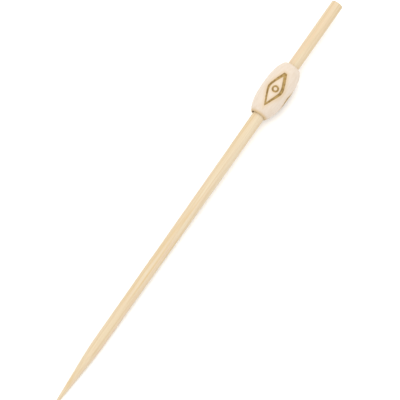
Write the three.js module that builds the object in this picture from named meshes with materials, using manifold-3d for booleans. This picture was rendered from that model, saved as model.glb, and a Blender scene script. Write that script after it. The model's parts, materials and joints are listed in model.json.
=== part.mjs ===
// Bamboo cocktail pick with a bead: a round stick, sharpened at one end, that carries
// a lacquered wooden bead near its blunt end. It lies as it comes to rest on a table,
// on the shoulder of its point and on the belly of the bead.
//
// Millimetres, +Z up. +X runs from the point to the blunt end, and the origin is the
// middle of the underside of the whole pick's box.

import * as THREE from 'three';
import { mergeVertices } from 'three/addons/utils/BufferGeometryUtils.js';
import Module from 'manifold-3d';

const wasm = await Module();
wasm.setup();

// Stick: split from a culm, drawn round through a die, then sharpened and sawn off
const STICK_LENGTH = 120;
const SHANK_RADIUS = 1.39; // just behind the point
const WAIST_RADIUS = 1.54; // just before the bead, where the stick is stoutest
const WAIST_PLACE = 84; // from the tip
const NECK_RADIUS = 1.47; // just past the bead
const NECK_PLACE = 106;
const HEAD_RADIUS = 1.5; // at the blunt end
const HEAD_EASE = 0.3; // the sawn end's broken edge
const POINT_LENGTH = 16.9;
const TIP_RADIUS = 0.2; // the point is left slightly blunt
const TIP_EASE = 0.4;
const SHOULDER_EASE = 3; // half the stretch over which the point runs out into the shank
const STICK_SIDES = 24;
const EASE_STEPS = 6;

// Bead: a turned barrel, bored through, that hangs a little askew on the stick
const BEAD_PLACE = 93.4; // from the tip to the middle of the bead
const BEAD_LENGTH = 14.45;
const BEAD_RADIUS = 3.61;
const BELLY_SHIFT = 0.6; // from the middle of the bead to where it is widest, towards the blunt end
const FULLNESS = 2.5; // of the barrel's outline: 2 would make it two half ellipses
const BORE_CLEARANCE = 0.25; // on the radius, round the stick
const POINT_LIP = 0.18; // the rounded lip that is left between bore and barrel, on the point's side
const BLUNT_LIP = 0.47; // and on the blunt end's side
const BEAD_SHIFT = 0.12; // sideways on the stick, towards +Y
const BEAD_YAW = 0.55; // degrees, its blunt side towards -Y
const BEAD_SIDES = 24; // as the stick, so that both lie on flats that end together
const BARREL_STEPS = 26;
const LIP_STEPS = 3;

// Motif: a lozenge round a small ring, burnt in three times round the bead
const MOTIF_COUNT = 3;
const MOTIF_TURN = 4.2; // degrees from straight up towards -Y, for the motif on top
const MOTIF_PLACE = -0.43; // along the bead, from its middle
const LOZENGE_HALF_LENGTH = 4.33; // to the middle of the line, as all of the motif's sizes
const LOZENGE_HALF_WIDTH = 2.1;
const LOZENGE_LINE = 0.57;
const SIDE_EASE = 1.7; // along the bead, on each side of the lozenge's side corners
const END_EASE = 0.3;
const RING_RADIUS = 0.67;
const RING_LINE = 0.42;
const BURN_DEPTH = 0.14;
const MOTIF_STEPS = 6;

const boreRadius = WAIST_RADIUS + BORE_CLEARANCE;
const beadHalf = BEAD_LENGTH / 2;
const pointBrow = POINT_LIP / 2 - beadHalf; // where the barrel runs out into its lips
const bluntBrow = beadHalf - BLUNT_LIP / 2;

const bamboo = new THREE.MeshStandardMaterial({ color: '#f0dab8', roughness: 0.62, metalness: 0 });
const lacquer = new THREE.MeshStandardMaterial({ color: '#f3e5d6', roughness: 0.42, metalness: 0 });
const scorch = new THREE.MeshStandardMaterial({ color: '#a1845c', roughness: 0.8, metalness: 0 });

// A profile of (radius, place along the axis) turned about the X axis. The sides are flats
// that touch the profile's own radius, and one of them faces straight down.
function turned(profile, sides) {
  const flat = Math.PI / sides;
  const corners = profile.map(({ x, y }) => new THREE.Vector2(x / Math.cos(flat), y));
  return new THREE.LatheGeometry(corners, sides, flat).rotateZ(-Math.PI / 2);
}

function bend(from, corner, to, steps) {
  const [a, b, c] = [from, corner, to].map(([radius, along]) => new THREE.Vector2(radius, along));
  return new THREE.QuadraticBezierCurve(a, b, c).getPoints(steps);
}

function stickProfile() {
  const pointRadius = (along) => TIP_RADIUS + ((SHANK_RADIUS - TIP_RADIUS) * along) / POINT_LENGTH;
  const runOut = POINT_LENGTH - SHOULDER_EASE;
  const tip = bend([0, 0], [TIP_RADIUS, 0], [pointRadius(TIP_EASE), TIP_EASE], EASE_STEPS);
  const shoulder = bend(
    [pointRadius(runOut), runOut],
    [SHANK_RADIUS, POINT_LENGTH],
    [SHANK_RADIUS, POINT_LENGTH + SHOULDER_EASE],
    EASE_STEPS,
  );
  const waist = new THREE.Vector2(WAIST_RADIUS, WAIST_PLACE);
  const neck = new THREE.Vector2(NECK_RADIUS, NECK_PLACE);
  const head = bend(
    [HEAD_RADIUS, STICK_LENGTH - HEAD_EASE],
    [HEAD_RADIUS, STICK_LENGTH],
    [HEAD_RADIUS - HEAD_EASE, STICK_LENGTH],
    EASE_STEPS,
  );
  return [...tip, ...shoulder, waist, neck, ...head, new THREE.Vector2(0, STICK_LENGTH)];
}

// The barrel's radius at a place along the bead, on the curve through its belly and the end
// on that side
function barrelRadius(along) {
  const blunt = along > BELLY_SHIFT;
  const half = blunt ? beadHalf - BELLY_SHIFT : beadHalf + BELLY_SHIFT;
  const endRadius = boreRadius + (blunt ? BLUNT_LIP : POINT_LIP);
  const reach = half / (1 - (endRadius / BEAD_RADIUS) ** 2) ** (1 / FULLNESS);
  return BEAD_RADIUS * Math.sqrt(1 - (Math.abs(along - BELLY_SHIFT) / reach) ** FULLNESS);
}

// The barrel's outline between its two lips, taken in by a depth
function barrelPoints(depth) {
  return Array.from({ length: BARREL_STEPS + 1 }, (_, i) => {
    const along = THREE.MathUtils.lerp(pointBrow, bluntBrow, i / BARREL_STEPS);
    return new THREE.Vector2(barrelRadius(along) - depth, along);
  });
}

// One end of the bead, from the barrel over the lip and into the bore
function lipPoints(brow, face, lip) {
  const crest = boreRadius + lip / 2;
  const outside = bend([barrelRadius(brow), brow], [boreRadius + lip, face], [crest, face], LIP_STEPS);
  const inside = bend([crest, face], [boreRadius, face], [boreRadius, brow], LIP_STEPS);
  return [...outside, ...inside.slice(1)];
}

function beadProfile() {
  const bluntEnd = lipPoints(bluntBrow, beadHalf, BLUNT_LIP);
  const pointEnd = lipPoints(pointBrow, -beadHalf, POINT_LIP);
  return [...barrelPoints(0), ...bluntEnd.slice(1), ...pointEnd.reverse()];
}

function lozenge(outline, grow) {
  const length = LOZENGE_HALF_LENGTH * grow;
  const width = LOZENGE_HALF_WIDTH * grow;
  const side = width * (1 - SIDE_EASE / length);
  const end = (width * END_EASE) / length;
  outline.moveTo(length - END_EASE, end);
  outline.lineTo(SIDE_EASE, side);
  outline.quadraticCurveTo(0, width, -SIDE_EASE, side);
  outline.lineTo(END_EASE - length, end);
  outline.quadraticCurveTo(-length, 0, END_EASE - length, -end);
  outline.lineTo(-SIDE_EASE, -side);
  outline.quadraticCurveTo(0, -width, SIDE_EASE, -side);
  outline.lineTo(length - END_EASE, -end);
  outline.quadraticCurveTo(length, 0, length - END_EASE, end);
  return outline;
}

// The lozenge's line: growing a lozenge by half a line moves each side out by that much
function lozengeLine() {
  const apothem =
    (LOZENGE_HALF_LENGTH * LOZENGE_HALF_WIDTH) / Math.hypot(LOZENGE_HALF_LENGTH, LOZENGE_HALF_WIDTH);
  const step = LOZENGE_LINE / 2 / apothem;
  const line = lozenge(new THREE.Shape(), 1 + step);
  line.holes.push(lozenge(new THREE.Path(), 1 - step));
  return line;
}

function ringLine() {
  const line = new THREE.Shape().absarc(0, 0, RING_RADIUS + RING_LINE / 2, 0, 2 * Math.PI);
  line.holes.push(new THREE.Path().absarc(0, 0, RING_RADIUS - RING_LINE / 2, 0, 2 * Math.PI));
  return line;
}

function solid(geometry) {
  const closed = geometry.clone();
  closed.deleteAttribute('normal');
  closed.deleteAttribute('uv');
  const merged = mergeVertices(closed);
  return new wasm.Manifold(
    new wasm.Mesh({
      numProp: 3,
      vertProperties: merged.attributes.position.array,
      triVerts: new Uint32Array(merged.index.array),
    }),
  );
}

// What the motif takes out of the bead: its lines as prisms, down to the barrel's form
// a burn's depth below the surface
function burnCutter() {
  const core = [...barrelPoints(BURN_DEPTH), new THREE.Vector2(boreRadius, bluntBrow)];
  core.push(new THREE.Vector2(boreRadius, pointBrow), core[0]);
  const lines = new THREE.ExtrudeGeometry([lozengeLine(), ringLine()], {
    depth: BEAD_RADIUS,
    bevelEnabled: false,
    curveSegments: MOTIF_STEPS,
  }).translate(MOTIF_PLACE, 0, boreRadius + POINT_LIP);
  return solid(lines).subtract(solid(turned(core, BEAD_SIDES)));
}

// The faces that come from the blank keep the lacquer, and the cutters leave scorched wood
function beadGeometry() {
  const blank = solid(turned(beadProfile(), BEAD_SIDES)).asOriginal();
  const cutter = burnCutter();
  const step = 360 / MOTIF_COUNT;
  const cuts = Array.from({ length: MOTIF_COUNT }, (_, i) => cutter.rotate([MOTIF_TURN + i * step, 0, 0]));
  const mesh = cuts.reduce((bead, cut) => bead.subtract(cut), blank).getMesh();
  const geometry = new THREE.BufferGeometry();
  geometry.setAttribute('position', new THREE.BufferAttribute(mesh.vertProperties, 3));
  geometry.setIndex(new THREE.BufferAttribute(mesh.triVerts, 1));
  mesh.runOriginalID.forEach((source, run) => {
    const start = mesh.runIndex[run];
    geometry.addGroup(start, mesh.runIndex[run + 1] - start, source === blank.originalID() ? 0 : 1);
  });
  geometry.computeVertexNormals();
  return geometry;
}

// The angle at which the pick lies: the one line that touches both outlines from below.
// From each point of the stick the bead's steepest point counts, and the least of these is it.
function lean() {
  const onBead = beadProfile().map(({ x, y }) => new THREE.Vector2(x, y + BEAD_PLACE));
  const onStick = stickProfile().filter(({ y }) => y < BEAD_PLACE - beadHalf);
  const slopes = onStick.map((foot) => Math.max(...onBead.map(({ x, y }) => (x - foot.x) / (y - foot.y))));
  return Math.atan(Math.min(...slopes));
}

const stick = new THREE.Mesh(turned(stickProfile(), STICK_SIDES), bamboo);
stick.name = 'stick';

const bead = new THREE.Mesh(beadGeometry(), [lacquer, scorch]);
bead.name = 'bead';
bead.position.set(BEAD_PLACE, BEAD_SHIFT, 0);
bead.rotation.z = -THREE.MathUtils.degToRad(BEAD_YAW);

const lying = new THREE.Group();
lying.add(stick, bead);
lying.rotation.y = -lean();

const pick = new THREE.Group();
pick.name = 'pick';
pick.add(lying);
pick.updateMatrixWorld(true);
const box = new THREE.Box3().setFromObject(pick, true);
const middle = box.getCenter(new THREE.Vector3());
lying.position.set(-middle.x, -middle.y, -box.min.z);

export default pick;
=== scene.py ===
"""A bamboo cocktail pick with a burnt-pattern bead, lying on white card under a soft studio light.

The pick's solids come in as a fixed frame. The stick and the bead are then built again as fine surfaces
worked out with numpy, in the place where the frame has them, and get their finishes.
"""

from __future__ import annotations

import json
import logging
import math
from dataclasses import dataclass, field
from enum import Enum
from typing import Any, Mapping, Optional, Sequence

import bpy
import numpy as np
from mathutils import Matrix, Vector


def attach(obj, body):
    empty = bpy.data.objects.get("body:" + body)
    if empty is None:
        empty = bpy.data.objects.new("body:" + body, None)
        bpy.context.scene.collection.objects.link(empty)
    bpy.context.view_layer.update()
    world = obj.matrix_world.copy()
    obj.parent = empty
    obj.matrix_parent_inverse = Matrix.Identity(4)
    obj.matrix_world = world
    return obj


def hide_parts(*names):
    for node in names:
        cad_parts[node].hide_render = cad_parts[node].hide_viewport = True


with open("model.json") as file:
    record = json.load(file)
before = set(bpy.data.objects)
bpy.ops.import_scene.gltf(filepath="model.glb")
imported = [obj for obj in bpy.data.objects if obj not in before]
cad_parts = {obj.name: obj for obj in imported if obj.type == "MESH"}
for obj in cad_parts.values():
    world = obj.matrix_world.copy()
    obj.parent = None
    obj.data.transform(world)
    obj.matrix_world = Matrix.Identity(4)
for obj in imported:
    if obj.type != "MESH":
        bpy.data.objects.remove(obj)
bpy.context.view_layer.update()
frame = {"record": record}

logging.basicConfig(level=logging.INFO, format="%(message)s")
LOG = logging.getLogger("pick")

MM = 0.001
ROOT = "root"


class Attribute(str, Enum):
    """The values that a piece's vertices carry for its material."""

    OWN_PLACE = "own_place"
    LINE_GAP = "line_gap"
    BORE_GAP = "bore_gap"


class Slot(str, Enum):
    """The record's material slots."""

    BAMBOO = "bamboo"
    BEAD = "lacquered_wood"


def linear(colour: str) -> tuple[float, float, float, float]:
    """Turns an sRGB hex colour into linear light, by the constants of the sRGB curve.

    Args:
        colour: The colour as "#rrggbb".

    Returns:
        Red, green, blue and an alpha of one.
    """
    parts = np.array([int(colour[i : i + 2], 16) for i in (1, 3, 5)]) / 255
    light = np.where(parts <= 0.04045, parts / 12.92, ((parts + 0.055) / 1.055) ** 2.4)
    return (float(light[0]), float(light[1]), float(light[2]), 1.0)


def add_node(
    tree: bpy.types.NodeTree,
    kind: str,
    settings: Optional[Mapping[str, Any]] = None,
    sockets: Optional[Mapping[Any, Any]] = None,
) -> bpy.types.Node:
    """Adds a node, sets its properties, and sets or links its inputs.

    Args:
        tree: The node tree that gets the node.
        kind: Blender's name of the node's type.
        settings: Properties of the node by name.
        sockets: Inputs by name or number. A socket as the value is linked, anything else is set.

    Returns:
        The new node.
    """
    node = tree.nodes.new(kind)
    for name, value in (settings or {}).items():
        setattr(node, name, value)
    for name, value in (sockets or {}).items():
        if isinstance(value, bpy.types.NodeSocket):
            tree.links.new(value, node.inputs[name])
        else:
            node.inputs[name].default_value = value
    return node


def new_material(name: str) -> tuple[bpy.types.Material, bpy.types.NodeTree, bpy.types.Node]:
    """Makes a material that is built from nodes.

    Args:
        name: Its name.

    Returns:
        The material, its node tree and its shader.
    """
    made = bpy.data.materials.new(name)
    made.use_nodes = True
    return made, made.node_tree, made.node_tree.nodes["Principled BSDF"]


def bend(start: Sequence[float], corner: Sequence[float], end: Sequence[float], steps: int) -> np.ndarray:
    """A quadratic curve: (1-t)^2 times start, plus 2t(1-t) times corner, plus t^2 times end.

    Args:
        start: Its first point.
        corner: Where the tangents at its two ends meet.
        end: Its last point.
        steps: How many spans it is cut into.

    Returns:
        The points, one a row.
    """
    t = np.linspace(0, 1, steps + 1)[:, None]
    a, b, c = (np.asarray(p, float) for p in (start, corner, end))
    return (1 - t) ** 2 * a + 2 * t * (1 - t) * b + t**2 * c


def ease(low: float, high: float, value: np.ndarray) -> np.ndarray:
    """A smooth step: three t squared less two t cubed, with t running from 0 at low to 1 at high."""
    t = np.clip((value - low) / (high - low), 0, 1)
    return t * t * (3 - 2 * t)


@dataclass(frozen=True)
class Placement:
    """Where a turned piece lies: its own x runs along its axis, in millimetres, from its origin."""

    origin: np.ndarray
    axes: np.ndarray

    def put(self, points: np.ndarray) -> np.ndarray:
        """Turns own millimetres into the frame's metres: the origin plus each axis times its coordinate.

        Args:
            points: Own coordinates, in millimetres, in the last direction of the array.

        Returns:
            The same array of points in metres.
        """
        return self.origin + points @ self.axes * MM

    def moved(self, shift: Sequence[float], yaw: float) -> "Placement":
        """The placement of a piece that sits on this one.

        Args:
            shift: Its origin here, in millimetres.
            yaw: Its turn about this placement's z, in degrees.

        Returns:
            The new placement.
        """
        turn = np.array(Matrix.Rotation(math.radians(yaw), 3, "Z")).T
        return Placement(self.put(np.asarray(shift, float)), turn @ self.axes)


@dataclass
class Surface:
    """A grid of points that is closed round its columns, with what its vertices carry."""

    name: str
    own: np.ndarray
    placement: Placement
    values: dict[Attribute, np.ndarray] = field(default_factory=dict)
    ring: bool = False

    def faces(self) -> list[tuple[int, ...]]:
        """Joins the grid's points by four-sided faces, and its ends by fans or to each other.

        The corner numbers are row times columns plus column, worked out for the whole grid at once. On a
        ring the last row joins the first. Otherwise each end row joins one more vertex on the axis.

        Returns:
            The corner numbers of each face, turned to face outwards.
        """
        rows, columns = self.own.shape[:2]
        row = np.arange(rows if self.ring else rows - 1)[:, None]
        column = np.arange(columns)
        beside = (column + 1) % columns
        here = row * columns
        above = (row + 1) % rows * columns
        corners = [here + column, here + beside, above + beside, above + column]
        quads = np.stack(corners, axis=-1).reshape(-1, 4)
        made = [tuple(face) for face in quads.tolist()]
        if self.ring:
            return made
        pole = np.full(columns, rows * columns)
        last_row = (rows - 1) * columns
        first = np.stack([pole, beside, column], axis=-1)
        last = np.stack([pole + 1, last_row + column, last_row + beside], axis=-1)
        return made + [tuple(face) for face in [*first.tolist(), *last.tolist()]]

    def build(self) -> bpy.types.Object:
        """Makes the mesh object, smooth, with its own coordinates and other values on its vertices.

        Returns:
            The object, at the origin, linked to the scene.
        """
        points = self.own.reshape(-1, 3)
        values = {name: value.reshape(-1) for name, value in self.values.items()}
        if not self.ring:
            poles = np.stack([self.own[0].mean(axis=0), self.own[-1].mean(axis=0)])
            points = np.concatenate([points, poles])
            ends = {name: [value[0].mean(), value[-1].mean()] for name, value in self.values.items()}
            values = {name: np.concatenate([value, ends[name]]) for name, value in values.items()}
        mesh = bpy.data.meshes.new(self.name)
        mesh.from_pydata(self.placement.put(points), [], self.faces())
        mesh.polygons.foreach_set("use_smooth", np.ones(len(mesh.polygons), bool))
        place = mesh.attributes.new(Attribute.OWN_PLACE.value, "FLOAT_VECTOR", "POINT")
        place.data.foreach_set("vector", points.astype(np.float32).ravel())
        for name, value in values.items():
            layer = mesh.attributes.new(name.value, "FLOAT", "POINT")
            layer.data.foreach_set("value", value.astype(np.float32))
        mesh.update()
        piece = bpy.data.objects.new(self.name, mesh)
        bpy.context.scene.collection.objects.link(piece)
        return piece


class Edge(str, Enum):
    """How a coat of colour runs out."""

    EVEN = "LINEAR"
    SOFT = "SMOOTHSTEP"


@dataclass(frozen=True)
class Figure:
    """The figure of a wood: noise whose features have a size across the grain and along it.

    detail is how many times finer noise is added to it, and offset slides it, so that the figures of one
    piece differ.
    """

    across_mm: float
    along_mm: float
    detail: float
    offset: float = 0.0

    def add(self, tree: bpy.types.NodeTree) -> bpy.types.NodeSocket:
        """Adds the figure to a material, on the piece's own coordinates, with its grain along their x.

        Args:
            tree: The material's node tree.

        Returns:
            The socket of the figure's value, which runs from 0 to 1.
        """
        place = add_node(tree, "ShaderNodeAttribute", {"attribute_name": Attribute.OWN_PLACE.value})
        scale = (1 / self.along_mm, 1 / self.across_mm, 1 / self.across_mm)
        start = (self.offset, self.offset, 0.0)
        mapping = add_node(
            tree,
            "ShaderNodeMapping",
            {},
            {"Vector": place.outputs["Vector"], "Scale": scale, "Location": start},
        )
        noise = add_node(
            tree,
            "ShaderNodeTexNoise",
            {},
            {"Vector": mapping.outputs[0], "Scale": 1.0, "Detail": self.detail},
        )
        return noise.outputs["Fac"]


@dataclass(frozen=True)
class Coat:
    """How one colour lies over another: at its strength where a value is full_at, gone at none_at."""

    full_at: float
    none_at: float
    strength: float = 1.0
    edge: Edge = Edge.EVEN

    def lay(
        self, tree: bpy.types.NodeTree, value: bpy.types.NodeSocket, under: Any, over: Any
    ) -> tuple[bpy.types.NodeSocket, bpy.types.NodeSocket]:
        """Lays the coat. Its share runs from its strength to nothing between the value's two places.

        Args:
            tree: The material's node tree.
            value: The value that says where the coat lies.
            under: The colour under the coat, linear or as a socket.
            over: The coat's colour, linear or as a socket.

        Returns:
            The colour with the coat on it, and the coat's share.
        """
        share = add_node(
            tree,
            "ShaderNodeMapRange",
            {"interpolation_type": self.edge.value},
            {
                "Value": value,
                "From Min": self.full_at,
                "From Max": self.none_at,
                "To Min": self.strength,
                "To Max": 0.0,
            },
        )
        mixed = add_node(
            tree,
            "ShaderNodeMix",
            {"data_type": "RGBA"},
            {"Factor": share.outputs[0], "A": under, "B": over},
        )
        return mixed.outputs["Result"], share.outputs[0]


@dataclass(frozen=True)
class RoundBamboo:
    """Raw bamboo, drawn round through a die and not oiled or painted.

    Bundles of tan fibres run the whole length in a paler ground, so the side shows soft streaks and the
    sawn end shows dots. Each bundle goes from straw over the ground's colour and a pale one to a rosy one.
    Slow bands of straw and fine darker fibres lie over them. The surface is dry, with little gloss.
    """

    straw: str = "#c7ae83"
    ground: str = "#c9b699"
    pale: str = "#cdbea1"
    rosy: str = "#ceb296"
    fibre: str = "#b39566"
    bundles: Figure = Figure(across_mm=0.48, along_mm=30.0, detail=2.0)
    bands: Figure = Figure(across_mm=1.6, along_mm=34.0, detail=1.0, offset=3.1)
    fibres: Figure = Figure(across_mm=0.2, along_mm=12.0, detail=3.0, offset=7.3)
    ground_coat: Coat = Coat(full_at=0.45, none_at=0.34)
    pale_coat: Coat = Coat(full_at=0.55, none_at=0.45)
    rosy_coat: Coat = Coat(full_at=0.66, none_at=0.55)
    band_coat: Coat = Coat(full_at=0.72, none_at=0.4, strength=0.35)
    fibre_coat: Coat = Coat(full_at=0.76, none_at=0.54, strength=0.34)
    smoothest: float = 0.5
    roughest: float = 0.7
    ior: float = 1.46
    relief_mm: float = 0.018
    relief_strength: float = 0.8

    def material(self) -> bpy.types.Material:
        """Builds the material from the stick's own coordinates, which are in millimetres.

        Returns:
            The finished material.
        """
        made, tree, shader = new_material("round_drawn_bamboo")
        bundles = self.bundles.add(tree)
        bands = self.bands.add(tree)
        fibres = self.fibres.add(tree)
        layers = [
            (self.ground_coat, bundles, self.ground),
            (self.pale_coat, bundles, self.pale),
            (self.rosy_coat, bundles, self.rosy),
            (self.band_coat, bands, self.straw),
            (self.fibre_coat, fibres, self.fibre),
        ]
        colour: Any = linear(self.straw)
        for coat, value, over in layers:
            colour = coat.lay(tree, value, colour, linear(over))[0]
        tree.links.new(colour, shader.inputs["Base Color"])
        rough = add_node(
            tree,
            "ShaderNodeMapRange",
            {},
            {"Value": fibres, "To Min": self.smoothest, "To Max": self.roughest},
        )
        tree.links.new(rough.outputs[0], shader.inputs["Roughness"])
        bump = add_node(
            tree,
            "ShaderNodeBump",
            {},
            {"Height": fibres, "Distance": self.relief_mm * MM, "Strength": self.relief_strength},
        )
        tree.links.new(bump.outputs[0], shader.inputs["Normal"])
        shader.inputs["IOR"].default_value = self.ior
        return made


@dataclass(frozen=True)
class LacqueredWood:
    """Pale close-grained wood, turned and tumbled, under a thin cream lacquer with burnt lines.

    The lacquer gives a soft satin highlight and nearly hides the grain. A hot die has browned the lines,
    charred them in spots and toasted the wood a little beside them. Towards the bore the wood turns
    golden, partly where the lacquer thins out and partly as painted shade and painted warm bounce light
    from the stick where the bead meets it, and inside the bore it is bare and pale. Each coat's places are
    values of its figure, or gaps in millimetres to the burnt lines' edge or to the bore.
    """

    shade: str = "#ccbcaa"
    cream: str = "#d0c2b2"
    toast: str = "#c7ac82"
    charred: str = "#836839"
    burnt: str = "#a38651"
    # golden: partly wood under thin lacquer, partly painted shade and painted warm bounce light from the
    # stick where the bead meets it
    golden: str = "#bda072"
    bare: str = "#d6c39f"
    grain: Figure = Figure(across_mm=0.45, along_mm=7.0, detail=3.0)
    mottle: Figure = Figure(across_mm=0.625, along_mm=0.625, detail=4.0)
    cream_coat: Coat = Coat(full_at=0.6, none_at=0.35)
    burnt_coat: Coat = Coat(full_at=0.58, none_at=0.38)
    toast_coat: Coat = Coat(full_at=0.04, none_at=0.89, strength=0.52, edge=Edge.SOFT)
    line_coat: Coat = Coat(full_at=-0.01, none_at=0.09, edge=Edge.SOFT)
    golden_coat: Coat = Coat(full_at=0.1, none_at=0.8, strength=0.95, edge=Edge.SOFT)
    bare_coat: Coat = Coat(full_at=0.04, none_at=0.16, edge=Edge.SOFT)
    ragged_mm: float = 0.08
    roughness: float = 0.4
    burnt_roughness: float = 0.75
    ior: float = 1.5
    gloss: float = 0.3
    relief_mm: float = 0.02
    relief_strength: float = 0.35

    def material(self) -> bpy.types.Material:
        """Builds the material from the gap to the nearest burnt line and to the bore.

        The gap to the lines grows by the mottle times ragged_mm, which makes their edges a little ragged.

        Returns:
            The finished material.
        """
        made, tree, shader = new_material("lacquered_wood_with_burnt_lines")
        line = add_node(tree, "ShaderNodeAttribute", {"attribute_name": Attribute.LINE_GAP.value})
        bore = add_node(tree, "ShaderNodeAttribute", {"attribute_name": Attribute.BORE_GAP.value})
        line_gap, bore_gap = line.outputs["Fac"], bore.outputs["Fac"]
        grain = self.grain.add(tree)
        mottle = self.mottle.add(tree)
        ragged = add_node(
            tree,
            "ShaderNodeMath",
            {"operation": "MULTIPLY_ADD"},
            {0: mottle, 1: self.ragged_mm, 2: line_gap},
        ).outputs[0]
        brown, _ = self.burnt_coat.lay(tree, mottle, linear(self.charred), linear(self.burnt))
        colour, _ = self.cream_coat.lay(tree, grain, linear(self.shade), linear(self.cream))
        colour, _ = self.toast_coat.lay(tree, ragged, colour, linear(self.toast))
        colour, scorched = self.line_coat.lay(tree, ragged, colour, brown)
        # Golden towards the bore: partly thin lacquer, partly painted shade and painted warm bounce light
        # where the bead meets the stick.
        colour, _ = self.golden_coat.lay(tree, bore_gap, colour, linear(self.golden))
        colour, _ = self.bare_coat.lay(tree, bore_gap, colour, linear(self.bare))
        tree.links.new(colour, shader.inputs["Base Color"])
        rough = add_node(
            tree,
            "ShaderNodeMapRange",
            {},
            {"Value": scorched, "To Min": self.roughness, "To Max": self.burnt_roughness},
        )
        tree.links.new(rough.outputs[0], shader.inputs["Roughness"])
        bump = add_node(
            tree,
            "ShaderNodeBump",
            {},
            {"Height": mottle, "Distance": self.relief_mm * MM, "Strength": self.relief_strength},
        )
        tree.links.new(bump.outputs[0], shader.inputs["Normal"])
        shader.inputs["IOR"].default_value = self.ior
        shader.inputs["Specular IOR Level"].default_value = self.gloss
        return made


@dataclass(frozen=True)
class Flute:
    """One wave of the shallow grooves round a drawn stick.

    count of them go round it, height is its share in the flutes, and drift is how far it turns along the
    stick, in radians to the millimetre, from a phase in radians.
    """

    count: int
    height: float
    drift: float
    phase: float

    def wave(self, along: np.ndarray, angle: np.ndarray) -> np.ndarray:
        """Its height times the cosine of count times the angle plus a phase that drifts along x."""
        return self.height * np.cos(self.count * angle + self.drift * along + self.phase)


@dataclass
class Stick:
    """The bamboo stick, from its slightly blunt point at own x = 0 to its sawn end."""

    length: float = 120.0
    shank_radius: float = 1.39
    waist_radius: float = 1.54
    waist_place: float = 84.0
    neck_radius: float = 1.47
    neck_place: float = 106.0
    head_radius: float = 1.5
    head_ease: float = 0.3
    point_length: float = 16.9
    tip_radius: float = 0.2
    tip_ease: float = 0.4
    shoulder_ease: float = 3.0
    columns: int = 96
    curve_steps: int = 8
    cone_steps: int = 60
    shoulder_steps: int = 16
    shank_steps: int = 130
    neck_steps: int = 50
    head_steps: int = 30
    end_steps: int = 6
    flute_mm: float = 0.011
    flute_fade: float = 1.0
    flutes: tuple[Flute, ...] = (
        Flute(count=5, height=0.9, drift=0.021, phase=0.3),
        Flute(count=9, height=0.7, drift=-0.034, phase=1.9),
        Flute(count=14, height=0.55, drift=0.05, phase=4.1),
        Flute(count=23, height=0.4, drift=-0.07, phase=2.2),
    )
    finish: RoundBamboo = field(default_factory=RoundBamboo)

    def placement(self) -> Placement:
        """Takes the stick's place from the frame's mount, which is the middle of the sawn end.

        Returns:
            A placement whose origin is the tip and whose x runs up the stick.
        """
        mount = frame["record"]["mounts"][0]
        along = np.asarray(mount["axis"], float)
        along = along / np.linalg.norm(along)
        side = np.array([0.0, 1.0, 0.0])
        axes = np.stack([along, side, np.cross(along, side)])
        tip = np.asarray(mount["pos_m"], float) - along * self.length * MM
        return Placement(tip, axes)

    def outline(self) -> np.ndarray:
        """The profile as place along the axis and radius: straight lines joined by quadratic curves.

        Each stretch leaves out its first point, which is the last one of the stretch before.

        Returns:
            The points from just off the tip to just off the middle of the sawn end.
        """

        def cone(along: float) -> list[float]:
            """A point of the sharpened cone, whose radius grows evenly with its place."""
            share = along / self.point_length
            return [along, self.tip_radius + (self.shank_radius - self.tip_radius) * share]

        tip = cone(self.tip_ease)
        run_out = cone(self.point_length - self.shoulder_ease)
        shoulder = [self.point_length, self.shank_radius]
        shank = [self.point_length + self.shoulder_ease, self.shank_radius]
        waist = [self.waist_place, self.waist_radius]
        neck = [self.neck_place, self.neck_radius]
        head = [self.length - self.head_ease, self.head_radius]
        edge = [self.length, self.head_radius]
        rim_radius = self.head_radius - self.head_ease
        rim = [self.length, rim_radius]
        middle = [self.length, rim_radius / self.end_steps]
        return np.concatenate(
            [
                bend([0, 0], [0, self.tip_radius], tip, self.curve_steps)[1:],
                np.linspace(tip, run_out, self.cone_steps)[1:],
                bend(run_out, shoulder, shank, self.shoulder_steps)[1:],
                np.linspace(shank, waist, self.shank_steps)[1:],
                np.linspace(waist, neck, self.neck_steps)[1:],
                np.linspace(neck, head, self.head_steps)[1:],
                bend(head, edge, rim, self.curve_steps)[1:],
                np.linspace(rim, middle, self.end_steps)[1:],
            ]
        )

    def surface(self) -> Surface:
        """Turns the outline round the axis, with fine flutes that the fibres leave.

        A point is (x, r cos a, r sin a). The radius loses up to the flute's depth, by a sum of cosines of
        the angle whose phases drift slowly along the stick, and none of it at the two ends.

        Returns:
            The stick's surface.
        """
        outline = self.outline()
        along, radius = outline[:, :1], outline[:, 1:]
        angle = np.linspace(0, 2 * np.pi, self.columns, endpoint=False)[None, :]
        waves = sum(flute.wave(along, angle) for flute in self.flutes)
        highest = sum(flute.height for flute in self.flutes)
        depth = self.flute_mm * (waves - highest) / 2
        depth = depth * ease(0.0, self.point_length, along)
        depth = depth * ease(self.length, self.length - self.flute_fade, along)
        across = radius + depth
        own = np.stack([along + 0 * angle, across * np.cos(angle), across * np.sin(angle)], axis=-1)
        return Surface("round_stick", own, self.placement())

    def build(self) -> bpy.types.Object:
        """Makes the stick, dresses it, and puts it in the frame's place.

        Returns:
            The stick's object.
        """
        piece = self.surface().build()
        piece.data.materials.append(self.finish.material())
        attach(piece, ROOT)
        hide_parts("stick")
        return piece


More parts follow.
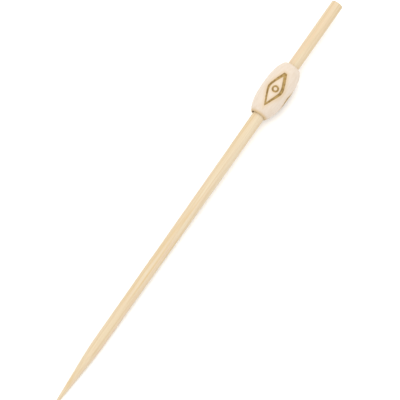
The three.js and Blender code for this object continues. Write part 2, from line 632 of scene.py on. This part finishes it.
@dataclass
class Motif:
    """A lozenge round a small ring, burnt in several times round the bead. Sizes are to mid-line.

    turns says where each motif is round the bead, in degrees. presses says how much wider its lozenge's
    line is, where the die was pressed harder. That line also swells towards the blunt end and to one side,
    as under a die that was held askew, and blunt_cut takes the lozenge's corner off square there.
    """

    turns: tuple[float, ...] = (4.2, 112.4, 243.0)
    presses: tuple[float, ...] = (0.0, 0.2, 0.05)
    place: float = -0.3
    half_length: float = 4.6
    blunt_cut: float = 4.62
    slant: float = 1.4
    half_width: float = 2.18
    line: float = 0.6
    side_ease: float = 1.05
    end_ease: float = 0.06
    ring_radius: float = 0.67
    ring_line: float = 0.46
    ring_shift: tuple[float, float] = (-0.07, 0.04)
    blunt_swell: float = 0.2
    side_swell: float = 0.08
    far: float = 3.0

    def gap(self, along: np.ndarray, angle: np.ndarray, radius: np.ndarray) -> np.ndarray:
        """How far each point is from the nearest burnt line's edge, below nothing inside the line.

        Each point is measured from the motif that is nearest by angle, and its place across that motif is
        its radius times the sine of the angle between them. The lozenge is the line where x over its half
        length plus y over its half width is one, and rooted squares in place of x and y ease its corners.
        How far that sum is from one, times the lozenge's distance from its middle to a side, is the gap to
        its line. The cut at the blunt end and the ring have gaps of their own, and the least one counts.

        Args:
            along: Place along the bead, in millimetres.
            angle: Angle round the bead from straight up towards -Y, in radians.
            radius: Distance from the bead's axis, in millimetres.

        Returns:
            The gap in millimetres.
        """
        turned = (angle[..., None] - np.radians(self.turns) + np.pi) % (2 * np.pi) - np.pi
        nearest = np.argmin(np.abs(turned), axis=-1)[..., None]
        folded = np.take_along_axis(turned, nearest, axis=-1)[..., 0]
        ahead, aside = along - self.place, radius * np.sin(folded)
        slant = math.radians(self.slant)
        x = ahead * math.cos(slant) - aside * math.sin(slant)
        y = ahead * math.sin(slant) + aside * math.cos(slant)
        length = np.hypot(x, self.side_ease) / self.half_length
        width = np.hypot(y, self.end_ease) / self.half_width
        apothem = self.half_length * self.half_width / math.hypot(self.half_length, self.half_width)
        swell = self.blunt_swell * x / self.half_length + self.side_swell * np.tanh(y)
        swell = swell + np.asarray(self.presses)[nearest[..., 0]]
        sides = np.abs(length + width - 1) * apothem - self.line / 2 - swell / 2
        lozenge = np.maximum(sides, x - self.blunt_cut)
        ring_x, ring_y = x - self.ring_shift[0], y - self.ring_shift[1]
        ring = np.abs(np.hypot(ring_x, ring_y) - self.ring_radius) - self.ring_line / 2
        return np.clip(np.minimum(lozenge, ring), -self.far, self.far)


@dataclass
class Bead:
    """The turned wooden bead, a full barrel with a rounded lip at each end of its bore.

    The golden colour towards the bore goes by the gap to the bore: it is partly wood under thinning
    lacquer and partly painted shade and painted warm bounce light from the stick where the bead meets it.
    In that gap a way along the bead counts along_weight times, and at the blunt end, where the golden band
    is kept narrower, the whole gap counts blunt_gap_scale times.
    """

    stick: Stick
    place: float = 93.4
    length: float = 14.45
    radius: float = 3.61
    belly_shift: float = 0.6
    fullness: float = 2.5
    bore_clearance: float = 0.25
    point_lip: float = 0.18
    blunt_lip: float = 0.47
    shift: float = 0.12
    yaw: float = 0.55
    columns: int = 300
    barrel_rows: int = 180
    over_rows: int = 7
    into_rows: int = 5
    bore_rows: int = 24
    burn_depth: float = 0.14
    burn_edge: float = 0.07
    along_weight: float = 0.6
    # Narrows the golden band, with its painted shade, at the blunt end.
    blunt_gap_scale: float = 2.5
    motif: Motif = field(default_factory=Motif)
    finish: LacqueredWood = field(default_factory=LacqueredWood)

    @property
    def bore(self) -> float:
        """The bore's radius: the stick's at its waist and the clearance round it."""
        return self.stick.waist_radius + self.bore_clearance

    def placement(self) -> Placement:
        """The bead's own frame: its middle on the stick, a little to one side and askew."""
        return self.stick.placement().moved([self.place, self.shift, 0.0], -self.yaw)

    def barrel_radius(self, along: np.ndarray) -> np.ndarray:
        """The barrel's radius, R times the root of 1 - (|x - b| / A)^p, for its belly at b.

        A is such that on each side the curve reaches its lip's outer radius at the bead's end.

        Args:
            along: Place along the bead, in millimetres.

        Returns:
            The radius in millimetres.
        """
        blunt = along > self.belly_shift
        half = self.length / 2 - np.where(blunt, self.belly_shift, -self.belly_shift)
        outer = self.bore + np.where(blunt, self.blunt_lip, self.point_lip)
        reach = half / (1 - (outer / self.radius) ** 2) ** (1 / self.fullness)
        share = np.abs(along - self.belly_shift) / reach
        return self.radius * np.sqrt(1 - share**self.fullness)

    def lip(self, brow: float, face: float, lip: float) -> np.ndarray:
        """One end, from the barrel over the crest and into the bore, as two quadratic curves.

        Args:
            brow: Where the barrel runs out, along the bead.
            face: The bead's end.
            lip: The lip's width, from the bore to the barrel's outline.

        Returns:
            Points of place and radius.
        """
        crest = [face, self.bore + lip / 2]
        barrel = [brow, float(self.barrel_radius(np.asarray(brow)))]
        over = bend(barrel, [face, self.bore + lip], crest, self.over_rows)
        into = bend(crest, [face, self.bore], [brow, self.bore], self.into_rows)
        return np.concatenate([over, into[1:]])

    def outline(self) -> np.ndarray:
        """The closed profile as place along the axis and radius, over the barrel and back down the bore.

        Returns:
            The points, one a row, the last one step before the first.
        """
        half = self.length / 2
        low, high = self.point_lip / 2 - half, half - self.blunt_lip / 2
        along = np.linspace(low, high, self.barrel_rows)
        barrel = np.stack([along, self.barrel_radius(along)], axis=1)
        bore = np.linspace([high, self.bore], [low, self.bore], self.bore_rows)
        blunt_end = self.lip(high, half, self.blunt_lip)
        point_end = self.lip(low, -half, self.point_lip)
        return np.concatenate([barrel, blunt_end[1:], bore[1:], point_end[::-1][1:-1]])

    def surface(self) -> Surface:
        """Turns the outline round the bead's axis and sinks the burnt lines into it.

        A point is (x, -r sin a, r cos a). Its radius loses the burn's depth times a smooth step of its gap
        to the nearest line, on the barrel only.

        Returns:
            The bead's surface, with each point's gap to the lines and to the bore.
        """
        outline = self.outline()
        along, radius = outline[:, :1], outline[:, 1:]
        angle = np.linspace(0, 2 * np.pi, self.columns, endpoint=False)[None, :]
        gap = self.motif.gap(along, angle, radius)
        on_barrel = ease(self.bore + self.blunt_lip, self.bore + 2 * self.blunt_lip, radius)
        gap = np.where(on_barrel > 0, gap, self.motif.far)
        sunk = self.burn_depth * on_barrel * (1 - ease(-self.burn_edge, self.burn_edge, gap))
        across = radius - sunk
        own = np.stack([along + 0 * angle, -across * np.sin(angle), across * np.cos(angle)], axis=-1)
        # The gap to the bore places the golden band: partly thin lacquer, partly painted shade and painted
        # bounce light where the bead meets the stick.
        into = np.minimum(np.abs(along) - self.length / 2 + self.point_lip, 0)
        inside = radius < self.bore + self.point_lip / 2
        end_gap_scale = np.where(along > 0, self.blunt_gap_scale, 1.0)
        to_bore = end_gap_scale * np.hypot(radius - self.bore, into * self.along_weight)
        bore_gap = np.where(inside, 0.0, to_bore) + 0 * angle
        values = {Attribute.LINE_GAP: gap, Attribute.BORE_GAP: bore_gap}
        return Surface("barrel_bead", own, self.placement(), values, ring=True)

    def build(self) -> bpy.types.Object:
        """Makes the bead, dresses it, and puts it in the frame's place.

        Returns:
            The bead's object.
        """
        piece = self.surface().build()
        piece.data.materials.append(self.finish.material())
        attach(piece, ROOT)
        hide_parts("bead")
        return piece


@dataclass
class Studio:
    """The white card that the pick lies on, one soft light and the camera."""

    bead: Bead
    photo_size: float = 400.0
    bead_pixel: tuple[float, float] = (275.2, 91.5)
    pixels_a_mm: float = 4.2
    elevation: float = 72.2
    heading: float = 34.18
    distance: float = 1.0
    sensor_mm: float = 36.0
    clip_start: float = 0.01
    clip_end: float = 20.0
    light_side: float = -0.03
    light_rise: float = 0.53
    light_distance: float = 0.7
    light_size: float = 0.7
    light_watts: float = 2.7
    light_aim: tuple[float, float, float] = (0.01, 0.0, 0.0)
    card_size: float = 3.0
    card_colour: str = "#fdfdfc"
    card_roughness: float = 0.9
    card_gloss: float = 0.2
    world_strength: float = 1.06

    def camera_axes(self) -> tuple[Vector, Vector, Vector]:
        """The camera's right, up and backward directions, for a level camera that looks down.

        Returns:
            The three directions in the frame.
        """
        turn, lift = math.radians(self.heading), math.radians(self.elevation)
        right = Vector((math.sin(turn), -math.cos(turn), 0))
        back = Vector((-math.cos(turn) * math.cos(lift), -math.sin(turn) * math.cos(lift), math.sin(lift)))
        return right, back.cross(right), back

    def camera(self) -> bpy.types.Object:
        """Makes a long-lens camera that sees the bead at its place in the photograph.

        The picture's middle is off the bead by the pixels between them, over the pixels to a millimetre.

        Returns:
            The camera, set as the scene's.
        """
        right, up, back = self.camera_axes()
        middle = self.photo_size / 2
        aside = (middle - self.bead_pixel[0]) / self.pixels_a_mm * MM
        below = (self.bead_pixel[1] - middle) / self.pixels_a_mm * MM
        aim = Vector(self.bead.placement().origin) + right * aside + up * below
        data = bpy.data.cameras.new("camera")
        data.sensor_width = self.sensor_mm
        data.lens = self.sensor_mm * self.distance / (self.photo_size / self.pixels_a_mm * MM)
        data.clip_start = self.clip_start
        data.clip_end = self.clip_end
        made = bpy.data.objects.new("camera", data)
        bpy.context.scene.collection.objects.link(made)
        made.location = aim + back * self.distance
        made.rotation_euler = back.to_track_quat("Z", "Y").to_euler()
        bpy.context.scene.camera = made
        return made

    def light(self) -> bpy.types.Object:
        """Hangs a square soft light that faces the pick, up the picture from the camera.

        Its direction is back to the camera, plus light_side across the picture and light_rise up it.

        Returns:
            The light.
        """
        right, up, back = self.camera_axes()
        towards = (back + right * self.light_side + up * self.light_rise).normalized()
        data = bpy.data.lights.new("key_softbox", "AREA")
        data.shape = "SQUARE"
        data.size = self.light_size
        data.energy = self.light_watts
        made = bpy.data.objects.new("key_softbox", data)
        bpy.context.scene.collection.objects.link(made)
        made.location = Vector(self.light_aim) + towards * self.light_distance
        made.rotation_euler = towards.to_track_quat("Z", "Y").to_euler()
        return made

    def table(self) -> bpy.types.Object:
        """Makes the table top, which is a flat sheet of plain white card.

        Returns:
            The table's object.
        """
        half = self.card_size / 2
        corners = np.array([[-half, -half, 0], [half, -half, 0], [half, half, 0], [-half, half, 0]])
        mesh = bpy.data.meshes.new("table_top")
        mesh.from_pydata(corners, [], [(0, 1, 2, 3)])
        top = bpy.data.objects.new("table_top", mesh)
        bpy.context.scene.collection.objects.link(top)
        material, _, shader = new_material("white_card")
        shader.inputs["Base Color"].default_value = linear(self.card_colour)
        shader.inputs["Roughness"].default_value = self.card_roughness
        shader.inputs["Specular IOR Level"].default_value = self.card_gloss
        mesh.materials.append(material)
        return top

    def build(self) -> None:
        """Sets up the camera, the light, the table and the even white surroundings."""
        self.camera()
        self.light()
        self.table()
        world = bpy.data.worlds.new("white_surroundings")
        world.use_nodes = True
        background = world.node_tree.nodes["Background"]
        background.inputs["Color"].default_value = (1, 1, 1, 1)
        background.inputs["Strength"].default_value = self.world_strength
        scene = bpy.context.scene
        scene.world = world
        scene.view_settings.view_transform = "Standard"


def main() -> None:
    """Builds the pick's pieces in order and sets up the studio round them."""
    stick = Stick()
    bead = Bead(stick)
    for part in (stick, bead):
        piece = part.build()
        LOG.info("%s: %d faces", piece.name, len(piece.data.polygons))
    Studio(bead).build()


if __name__ == "__main__":
    main()
